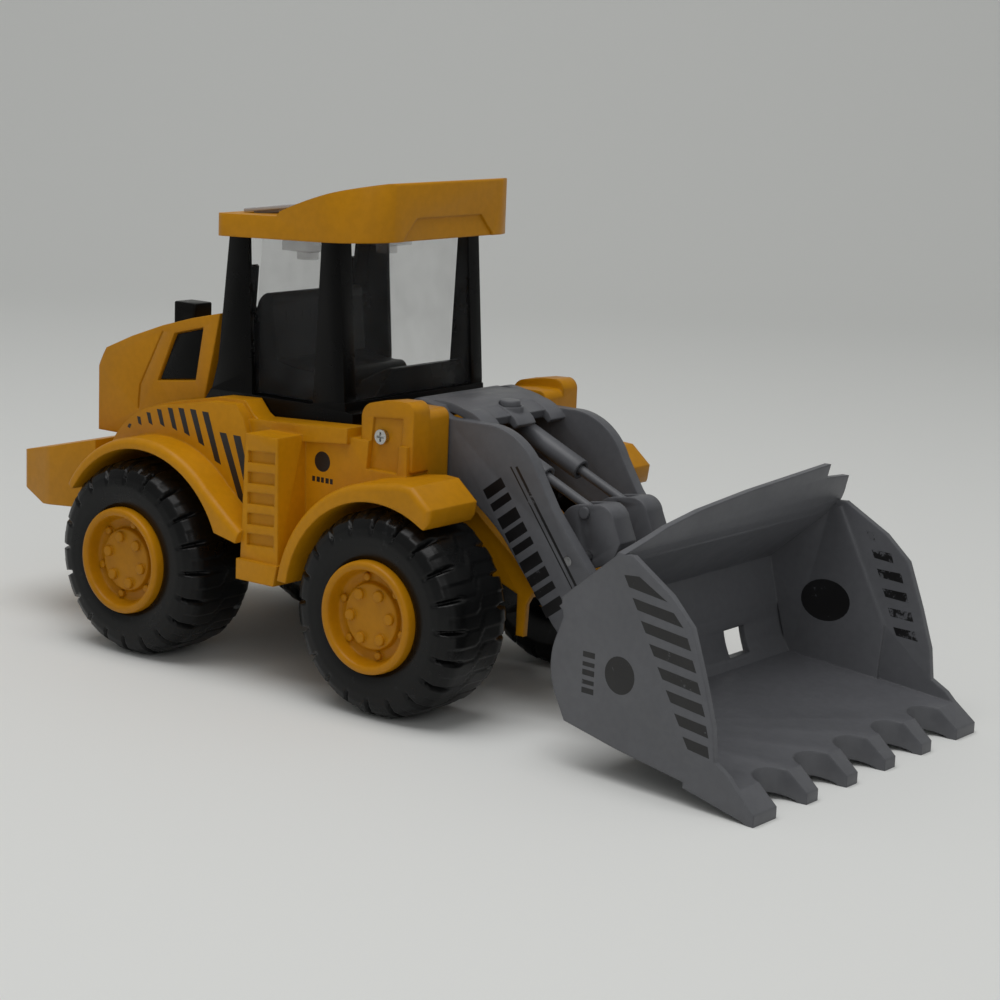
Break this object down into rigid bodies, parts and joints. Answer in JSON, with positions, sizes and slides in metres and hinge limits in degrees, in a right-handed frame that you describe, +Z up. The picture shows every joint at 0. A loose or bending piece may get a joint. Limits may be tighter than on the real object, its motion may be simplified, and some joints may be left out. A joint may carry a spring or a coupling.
{
  "type": "toy wheel loader",
  "caption": "Plastic toy wheel loader with rolling wheels, a cab with clear windows, a lifting boom with twin cylinders and a tilting toothed bucket.",
  "frame": {"origin": "centre of the bounding box's base, on the floor under the machine", "axes": "+X forward towards the bucket teeth, +Y to the machine's left, +Z up"},
  "size_m": [0.33, 0.13, 0.1634],
  "materials": {
    "yellow_plastic": "moulded orange-yellow plastic, satin",
    "hub_plastic": "moulded yellow plastic, satin",
    "grey_plastic": "moulded mid-grey plastic, satin",
    "black_plastic": "moulded black plastic, satin",
    "seat_plastic": "moulded black-brown plastic",
    "clear_plastic": "clear moulded plastic",
    "roof_plate_plastic": "silvery smoked plastic plate",
    "tyre_plastic": "black soft plastic tread",
    "steel_pin": "plain steel wire",
    "plated_screw": "plated self-tapping screw"
  },
  "bodies": {
    "machine": {"chassis": "black_plastic", "body_shell": "yellow_plastic", "engine_hood": "yellow_plastic", "hood_side_windows": "black_plastic", "exhaust_box": "black_plastic", "counterweight": "yellow_plastic", "cab_frame": "black_plastic", "cab_glazing": "clear_plastic", "cab_roof": "yellow_plastic", "roof_window": "roof_plate_plastic", "seat": "seat_plastic", "dashboard": "black_plastic", "boom_pivot_screws": "plated_screw"},
    "front_wheelset": {"axle_front": "steel_pin", "hub_front_left": "hub_plastic", "hub_front_right": "hub_plastic", "tyre_front_left": "tyre_plastic", "tyre_front_right": "tyre_plastic"},
    "rear_wheelset": {"axle_rear": "steel_pin", "hub_rear_left": "hub_plastic", "hub_rear_right": "hub_plastic", "tyre_rear_left": "tyre_plastic", "tyre_rear_right": "tyre_plastic"},
    "boom_assembly": {"boom": "grey_plastic", "boom_cap_pin": "grey_plastic", "cylinder_pivot_pin": "steel_pin", "lever_pivot_pin": "steel_pin", "bucket_pivot_pin": "steel_pin"},
    "cylinder_barrels": {"cylinder_barrel_left": "grey_plastic", "cylinder_barrel_right": "grey_plastic"},
    "cylinder_rods": {"cylinder_rod_left": "grey_plastic", "cylinder_rod_right": "grey_plastic"},
    "tilt_levers": {"tilt_lever_left": "grey_plastic", "tilt_lever_right": "grey_plastic", "rod_pins": "grey_plastic"},
    "loader_bucket": {"bucket": "grey_plastic"}
  },
  "joints": [
    {"name": "front_axle_spin", "type": "hinge", "parent": "machine", "child": "front_wheelset", "pos_m": [0.0205, 0, 0.033], "axis": [0, 1, 0], "continuous": true},
    {"name": "rear_axle_spin", "type": "hinge", "parent": "machine", "child": "rear_wheelset", "pos_m": [-0.088, 0, 0.033], "axis": [0, 1, 0], "continuous": true},
    {"name": "boom_lift", "type": "hinge", "parent": "machine", "child": "boom_assembly", "pos_m": [0.008, 0, 0.0858], "axis": [0, -1, 0], "range_deg": [0, 40]},
    {"name": "bucket_tilt", "type": "hinge", "parent": "boom_assembly", "child": "loader_bucket", "pos_m": [0.0815, 0, 0.0282], "axis": [0, -1, 0], "range_deg": [-33, 20]},
    {"name": "lever_swing", "type": "hinge", "parent": "boom_assembly", "child": "tilt_levers", "pos_m": [0.0685, 0, 0.053], "axis": [0, -1, 0], "range_deg": [-20, 12.2]},
    {"name": "rod_swing", "type": "hinge", "parent": "tilt_levers", "child": "cylinder_rods", "pos_m": [0.0665, 0, 0.0665], "axis": [0, -1, 0], "range_deg": [-14, 23]},
    {"name": "barrel_swing", "type": "hinge", "parent": "boom_assembly", "child": "cylinder_barrels", "pos_m": [0.0175, 0, 0.088], "axis": [0, -1, 0], "range_deg": [-2, 3]}
  ],
  "couplings": [
    {"joint": "lever_swing", "follows": "bucket_tilt", "ratio": 0.6},
    {"joint": "rod_swing", "follows": "bucket_tilt", "ratio": -0.666},
    {"joint": "barrel_swing", "follows": "bucket_tilt", "ratio": -0.066}
  ]
}
